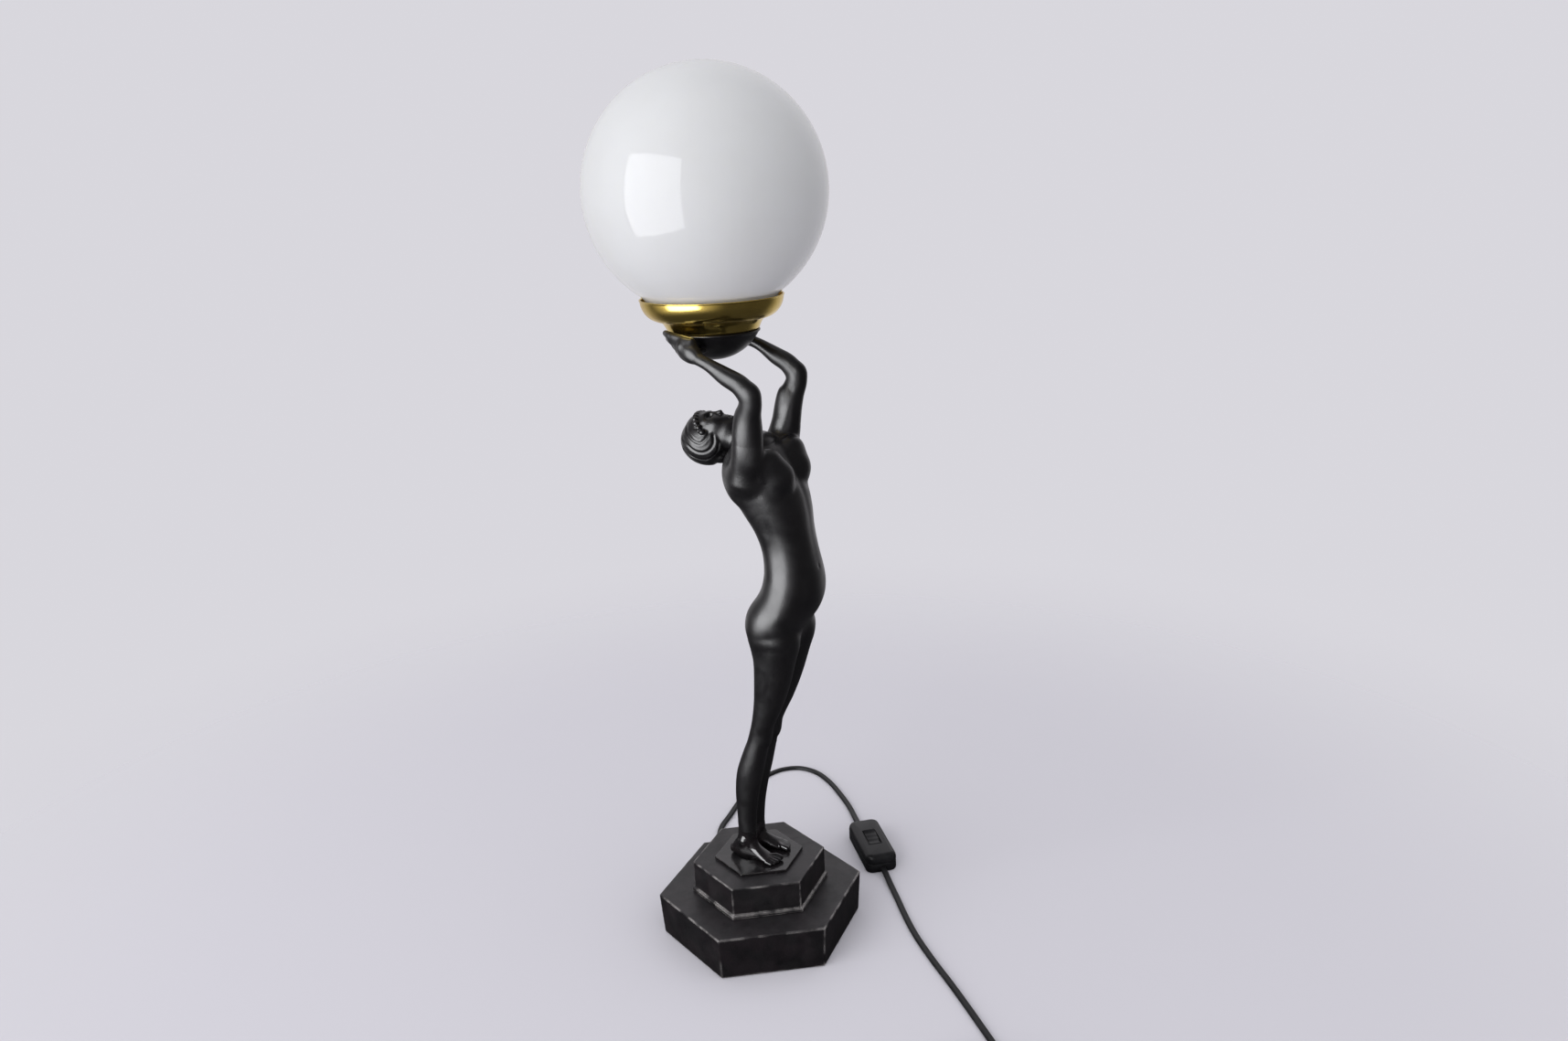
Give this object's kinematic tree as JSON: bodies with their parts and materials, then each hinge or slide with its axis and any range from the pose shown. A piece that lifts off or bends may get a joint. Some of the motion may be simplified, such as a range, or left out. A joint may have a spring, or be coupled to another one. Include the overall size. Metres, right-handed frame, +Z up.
{
  "type": "figural table lamp",
  "caption": "Table lamp: a cast standing figure on a two-tier hexagonal base lifts a bowl with a brass gallery and a round opal glass globe; corded inline switch.",
  "frame": {"origin": "centre of the felt pad's underside, on the surface the lamp stands on", "axes": "+Z up along the lamp, the figure faces -Y, its left hand is on +X"},
  "size_m": [0.4666, 0.3659, 0.6991],
  "materials": {
    "black_casting": "satin black enamel on a cast figure and base, finely pitted, edges lightly worn",
    "polished_brass": "polished, lightly aged",
    "opal_glass": null,
    "clear_glass": "clear blown glass",
    "black_plastic": "moulded, low sheen",
    "cord_sheath": "smooth extruded flat twin sheath",
    "steel": "zinc plated",
    "felt": "felt",
    "porcelain": null,
    "rubber": "soft moulded"
  },
  "bodies": {
    "lamp": {"base_lower_tier": "black_casting", "base_cover_plate": "steel", "cover_screw_1": "steel", "cover_screw_2": "steel", "cover_screw_3": "steel", "felt_pad": "felt", "base_upper_tier": "black_casting", "clamp_plate": "steel", "tie_bolt": "steel", "figure_body": "black_casting", "figure_head": "black_casting", "bowl": "black_casting", "figure_right_arm": "black_casting", "figure_left_arm": "black_casting", "gallery": "polished_brass", "threaded_nipple": "steel", "gallery_locknut": "polished_brass", "holder_base": "black_plastic", "holder_skirt": "black_plastic", "holder_insulator": "porcelain", "holder_centre_contact": "polished_brass", "holder_ring": "black_plastic", "inner_lead": "cord_sheath", "lead_saddle": "black_plastic", "saddle_screw_1": "steel", "saddle_screw_2": "steel", "cord_relief": "rubber", "switch_lower_shell": "black_plastic", "switch_upper_shell": "black_plastic", "switch_screw_1": "steel", "switch_screw_2": "steel", "switch_terminal_1": "polished_brass", "switch_terminal_2": "polished_brass", "cord_to_switch": "cord_sheath", "cord_coil": "cord_sheath", "cord_to_coil": "cord_sheath", "cord_tie": "rubber", "cord_to_plug": "cord_sheath", "plug_body": "black_plastic", "plug_pin_1": "polished_brass", "plug_pin_2": "polished_brass"},
    "globe": {"globe": "opal_glass"},
    "bulb": {"bulb_cap": "steel", "bulb_glass": "clear_glass"},
    "rocker": {"switch_rocker": "black_plastic"}
  },
  "joints": [
    {"name": "globe_lift", "type": "slide", "parent": "lamp", "child": "globe", "axis": [0, 0, 1], "range_m": [0, 0.15]},
    {"name": "bulb_turn", "type": "hinge", "parent": "lamp", "child": "bulb", "pos_m": [0, 0.0125, 0.55], "axis": [0, 0, 1], "range_deg": [0, 2160]},
    {"name": "rocker_tip", "type": "hinge", "parent": "lamp", "child": "rocker", "pos_m": [0.131, -0.056, 0.01255], "axis": [-0.5693, 0.8221, 0], "range_deg": [0, 14]}
  ]
}
